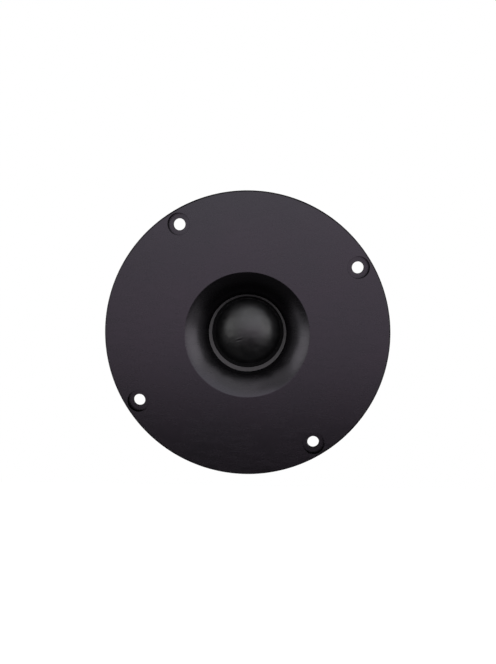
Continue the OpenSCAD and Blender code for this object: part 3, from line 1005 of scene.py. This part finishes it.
# ---- carrier and terminals
def rod(name, radius, low, high, centre=(0, 0)):
    """A plain cylinder along Y."""
    return lathe(name, [(0, low), (radius, low), (radius, high), (0, high)], EYE_STEPS, centre)


def make_terminal(name, node):
    """A stamped strip that lies in the carrier, turns over the tongue's end and becomes a blade."""
    low, high = mm_box(node)
    half = (high[0] - low[0]) / 2
    x = (high[0] + low[0]) / 2
    blade_end, outer_z = high[1], low[2]
    mid_y, mid_z = low[1] + BLADE_T / 2, outer_z + BLADE_T / 2
    bend, bend_steps = 0.45, 6
    tip_length, tip_taper = 0.9, 0.7
    line = [(mid_y, high[2]), (mid_y, mid_z + bend)]
    for i in range(1, bend_steps + 1):
        a = pi / 2 * i / bend_steps
        line.append((mid_y + bend * (1 - cos(a)), mid_z + bend * (1 - sin(a))))
    line += [(blade_end - tip_length, mid_z), (blade_end, mid_z)]
    verts, faces = [], []
    for i, (y, z) in enumerate(line):
        before, after = line[max(i - 1, 0)], line[min(i + 1, len(line) - 1)]
        along = Vector((after[0] - before[0], after[1] - before[1])).normalized()
        width = half - (tip_taper if i == len(line) - 1 else 0)
        for sx, st in ((-1, -1), (1, -1), (1, 1), (-1, 1)):
            t = BLADE_T / 2 * st
            verts.append(((x + sx * width) * MM, (y - along[1] * t) * MM, (z + along[0] * t) * MM))
        if i:
            for k in range(4):
                m = (k + 1) % 4
                faces.append((4 * i - 4 + k, 4 * i - 4 + m, 4 * i + m, 4 * i + k))
    faces += [(0, 1, 2, 3), tuple(4 * len(line) - 4 + k for k in (3, 2, 1, 0))]
    strip = mesh_object(name, verts, faces)
    hole = rod("blade_hole", BLADE_HOLE_R, outer_z - 1, outer_z + 2)
    upright = Matrix.Rotation(pi / 2, 4, "X")
    hole.data.transform(Matrix.Translation(Vector((x, blade_end - BLADE_HOLE_FROM_END, 0)) * MM) @ upright)
    eye = rod("rivet_hole", RIVET_EYE_R, low[1] - 1, low[1] + 1.5, (x, RIVET_Z))
    combine(strip, [hole, eye])
    place(smooth(bake_modifiers(add_bevel(strip, 0.07))), "tinned_brass", node)


def make_rivets():
    """Tubular rivets: a low head on the carrier's front and a rolled end in the pocket behind."""
    rivets = []
    top_y = CARRIER_Y
    pocket_y = BOSS_END_Y - RIVET_POCKET_DEPTH
    outline = rounded([
        (0.45, top_y - 0.30, 0.1), (1.6, top_y - 0.35, 0.25), (1.78, top_y), (RIVET_EYE_R, top_y),
        (RIVET_EYE_R, pocket_y), (1.9, pocket_y), (1.75, pocket_y + 0.33, 0.12),
        (0.9, pocket_y + 0.35, 0.12), (0.6, pocket_y - 0.3), (0.45, pocket_y - 0.5),
    ])
    for side in (-1, 1):
        rivets.append(lathe(f"rivet_{side}", outline, SMALL_STEPS, (side * TERMINAL_X, RIVET_Z)))
    place(smooth(join("terminal_rivets_rolled", rivets)), "rivet_brass", "terminal_rivets")


def make_solder():
    """A low, slightly uneven dome of solder on each terminal's pad."""
    blobs = []
    base_y = CARRIER_Y + BLADE_T
    blob_r, blob_h = 0.95, 0.86
    outline = [(0, base_y)]
    for a in np.linspace(0, pi / 2, 10):
        outline.append((blob_r * cos(a) ** 0.7, base_y + blob_h * sin(a) ** 1.3))
    for side in (-1, 1):
        blob = lathe(f"blob_{side}", outline, SMALL_STEPS, (side * TERMINAL_X, SOLDER_Z))
        blobs.append(displace(blob, 0.06, 0.6, 3 + side, lambda p: min(1.0, max(0.0, p.y - base_y))))
    solder_blobs = smooth(join("solder_blobs", blobs), 60, weighted=False)
    place(solder_blobs, "solder", "solder_joints")


def finish_carrier():
    """The carrier's CAD shape stays and gets its moulded edges and finish."""
    carrier = frame["nodes"]["diaphragm_carrier"]
    weld = carrier.modifiers.new("weld", "WELD")
    weld.merge_threshold = 1e-6
    add_bevel(carrier, 0.12, 50)
    carrier.data.materials.clear()
    carrier.data.materials.append(FINISHES["black_plastic"])


# ---- motor
def screw_holes(place_r, low, high, chamfer=0.3):
    """Cutters for the three clearance holes, with both ends chamfered."""
    radius, flared = SCREW_CLEARANCE_R, SCREW_CLEARANCE_R + chamfer + 1
    outline = [
        (0, low - 1), (flared, low - 1), (radius, low + chamfer),
        (radius, high - chamfer), (flared, high + 1), (0, high + 1),
    ]
    return [lathe(f"bore_{a}", outline, SMALL_STEPS, on_circle(place_r, a)) for a in SCREW_ANGLES]


def make_screws(name, place_r, seat_y, length, node):
    """Pan-head screws that point to the front, with a cross recess and a rolled thread."""
    head_h, head_r, shank_r = 2.2, 2.7, 1.5
    pitch, thread_depth = 0.5, 0.22
    head_y, end_y = seat_y + head_h, seat_y - length
    thread = []
    y = seat_y - 0.6
    while y > end_y + 0.8:
        thread += [(shank_r, y), (shank_r - thread_depth, y - pitch / 2)]
        y -= pitch
    outline = rounded([
        (0, head_y), (1.9, head_y, 0.9), (head_r, seat_y + 0.75, 0.5), (head_r, seat_y, 0.12),
        (shank_r, seat_y, 0.1), (shank_r, seat_y - 0.5),
    ], 6)
    outline += thread + [(shank_r - 0.5, end_y + 0.05), (0, end_y + 0.02)]
    places = [on_circle(place_r, angle) for angle in SCREW_ANGLES]
    screws = join(name, [
        lathe(f"screw_{i}", outline, SMALL_STEPS, at) for i, at in enumerate(places)
    ])
    first_turn, turn_step = 20, 50
    for i, (x, z) in enumerate(places):
        for quarter in (0, 90):
            turn = first_turn + turn_step * i + quarter
            combine(screws, [recess_wing(f"wing_{i}_{turn}", x, z, head_y, turn)])
    place(smooth(screws, 32), "black_screw", node)


def recess_wing(name, x, z, top_y, turn):
    """A cutter for one tapered slot of a cross recess."""
    wide, deep, long_top, long_bottom = 0.42, 1.35, 1.75, 0.6
    bottom_narrowing = 0.7
    a = radians(turn)
    along, across = Vector((cos(a), 0, sin(a))), Vector((-sin(a), 0, cos(a)))
    middle = Vector((x, top_y, z))
    verts = []
    for down, length, half in ((-0.3, long_top, wide), (deep, long_bottom, wide * bottom_narrowing)):
        for s, t in ((-1, -1), (1, -1), (1, 1), (-1, 1)):
            verts.append((middle + along * length * s + across * half * t - Vector((0, down, 0))) * MM)
    faces = [(0, 1, 2, 3), (7, 6, 5, 4), (0, 4, 5, 1), (1, 5, 6, 2), (2, 6, 7, 3), (3, 7, 4, 0)]
    return mesh_object(name, verts, faces)


def make_motor():
    top = lathe("top_plate_turned", rounded([
        (GAP_R, BOSS_END_Y, 0.1), (BOSS_R, BOSS_END_Y, 0.35), (BOSS_R, MAGNET_LOW[1], 0.35),
        (GAP_R, MAGNET_LOW[1], 0.1),
    ]))
    combine(top, screw_holes(MOTOR_SCREW_R, BOSS_END_Y, MAGNET_LOW[1]))
    place(smooth(top), "zinc_plated_steel", "top_plate")

    magnet = lathe("magnet_ring_ground", rounded([
        (MAGNET_BORE_R, MAGNET_LOW[1], 0.5), (MAGNET_HIGH[0], MAGNET_LOW[1], 0.8),
        (MAGNET_HIGH[0], MAGNET_HIGH[1], 0.8), (MAGNET_BORE_R, MAGNET_HIGH[1], 0.5),
    ], 6))
    displace(magnet, 0.5, 2.2, 5, edge_chips)
    place(smooth(magnet, 40), "ferrite", "magnet")

    turned("back_plate_turned", [
        (SPIGOT_R, BACK_LOW[1], 0.2), (BACK_HIGH[0], BACK_LOW[1], 0.4),
        (BACK_HIGH[0], BACK_HIGH[1], 0.5), (SPIGOT_R, BACK_HIGH[1], 0.2),
    ], "zinc_plated_steel", "back_plate")

    pole_low, pole_high = mm_box("pole_piece")
    turned("pole_turned", [
        (VENT_R, pole_low[1], 0.5), (pole_high[0], pole_low[1], 0.3), (pole_high[0], BACK_LOW[1]),
        (SPIGOT_R, BACK_LOW[1]), (SPIGOT_R, pole_high[1], 0.3), (VENT_R, pole_high[1], 0.3),
    ], "pole_steel", "pole_piece")

    cap_low, cap_high = mm_box("copper_cap")
    turned("copper_cap_drawn", [
        (WINDOW_R, cap_low[1], 0.08), (cap_high[0], cap_low[1], 0.3), (cap_high[0], cap_high[1], 0.08),
        (pole_high[0], cap_high[1], 0.08), (pole_high[0], pole_low[1]), (WINDOW_R, pole_low[1]),
    ], "copper", "copper_cap")

    felt_low, felt_high = mm_box("pole_felt")
    felt = lathe("pole_felt_ring", rounded([
        (WINDOW_R, felt_low[1], 0.3), (felt_high[0], felt_low[1], 0.3),
        (felt_high[0], felt_high[1]), (WINDOW_R, felt_high[1]),
    ]), SOFT_STEPS)
    displace(felt, 0.15, 0.9, 9, lambda p: 1.0 if p.y < felt_high[1] - 0.2 else 0.0)
    place(smooth(felt, 60, weighted=False), "wool_felt", "pole_felt")

    plug_low, plug_high = mm_box("vent_plug")
    plug_r, plug_end_y = plug_high[0] - 0.05, plug_high[1] - 0.05
    plug = turned("vent_plug_foam", [
        (0, plug_low[1]), (plug_r, plug_low[1], 0.5), (plug_r, plug_end_y, 0.5), (0, plug_end_y),
    ], "open_foam", "vent_plug", 2 * SMALL_STEPS, 60)

    pin_low, pin_high = mm_box("locating_pins")
    outline = rounded([
        (0, pin_low[1]), (PIN_R, pin_low[1], 0.35), (PIN_R, pin_high[1], 0.2), (0, pin_high[1]),
    ])
    pins = [
        lathe(f"pin_{side}", outline, SMALL_STEPS, (side * (pin_high[0] - PIN_R), 0))
        for side in (-1, 1)
    ]
    place(smooth(join("locating_pins_ground", pins)), "pin_steel", "locating_pins")


def edge_chips(p):
    """Where a ferrite ring chips: a few spots along its outer edges."""
    reach = 1.0
    r = hypot(p.x, p.z)
    from_face = min(abs(p.y - MAGNET_LOW[1]), abs(p.y - MAGNET_HIGH[1]))
    if r < MAGNET_HIGH[0] - reach or from_face > reach:
        return 0.0
    spot = noise.noise(Vector((p.x, p.y, p.z)) / 5 + Vector((11, 4, 7)))
    return max(0.0, spot - 0.25)


# ---- rear chamber
def make_rear_chamber():
    """The moulded cup, with a gate mark in its end and tapered ribs on its flange, its seal and its pad."""
    flange_r = CUP_HIGH[0]
    front_y, end_y = CUP_LOW[1], CUP_HIGH[1]
    flange_y = front_y + CUP_FLANGE_T
    inner_r = CUP_R - CUP_WALL
    gate_y = end_y - 0.25
    cup = lathe("rear_chamber_cup", rounded([
        (0, gate_y), (1.4, gate_y, 0.1), (1.6, end_y, 0.1), (CUP_R, end_y, 2.5), (CUP_R, flange_y, 0.5),
        (flange_r, flange_y, 0.4), (flange_r, front_y, 0.2), (inner_r, front_y, 0.2),
        (inner_r, end_y - CUP_WALL, 0.8), (0, end_y - CUP_WALL),
    ], 7))
    combine(cup, screw_holes(CHAMBER_SCREW_R, front_y, flange_y, 0.15))
    rib_low = (CUP_R - 0.4, flange_y - 0.3, -RIB_HALF)
    rib_high = (flange_r - 1.2, front_y + 6.5, RIB_HALF)
    rib_top_r = CUP_R + 0.15
    ribs = []
    for angle in range(0, 360, RIB_SPACING):
        if angle in SCREW_ANGLES:
            continue
        rib = block(f"rib_{angle}", rib_low, rib_high)
        for v in rib.data.vertices:
            if v.co.x > CUP_R * MM and v.co.y > flange_y * MM:
                v.co.x = rib_top_r * MM
        rib.data.transform(Matrix.Rotation(-radians(angle), 4, "Y"))
        ribs.append(bake_modifiers(add_bevel(rib, 0.15)))
    combine(cup, ribs, "UNION")
    place(smooth(cup, 32), "black_plastic", "rear_chamber")

    foam_ring(
        "rear_chamber_seal", inner_r, flange_r - 0.1, BACK_HIGH[1], front_y,
        "grey_foam", "rear_chamber_gasket", 0.1,
    )

    pad_r, pad_end_y = FOAM_HIGH[0] - 0.1, FOAM_HIGH[1] - 0.1
    pad = lathe("rear_chamber_pad", rounded([
        (0, FOAM_LOW[1]), (pad_r, FOAM_LOW[1], 1.0), (pad_r, pad_end_y, 1.2), (0, pad_end_y),
    ]), SOFT_STEPS)
    displace(pad, 0.3, 3.0, 2, lambda p: 1.0 if p.y < FOAM_LOW[1] + 1.2 else 0.0)
    place(smooth(pad, 60, weighted=False), "open_foam", "rear_chamber_foam")


# ---- the scene
make_camera()
make_lights()
make_stage()
make_faceplate()
make_throat_ring()
make_gaskets()
make_fabric()
make_coil()
make_lead_out("lead_out_positive_tinsel", -1, "lead_out_positive")
make_lead_out("lead_out_negative_tinsel", 1, "lead_out_negative")
finish_carrier()
make_terminal("terminal_positive_strip", "terminal_positive")
make_terminal("terminal_negative_strip", "terminal_negative")
make_rivets()
make_solder()
make_motor()
make_screws("motor_screws_m3", MOTOR_SCREW_R, MAGNET_LOW[1], MOTOR_SCREW_LENGTH, "motor_screws")
make_rear_chamber()
make_screws(
    "rear_chamber_screws_m3", CHAMBER_SCREW_R, CUP_LOW[1] + CUP_FLANGE_T, CHAMBER_SCREW_LENGTH,
    "rear_chamber_screws",
)
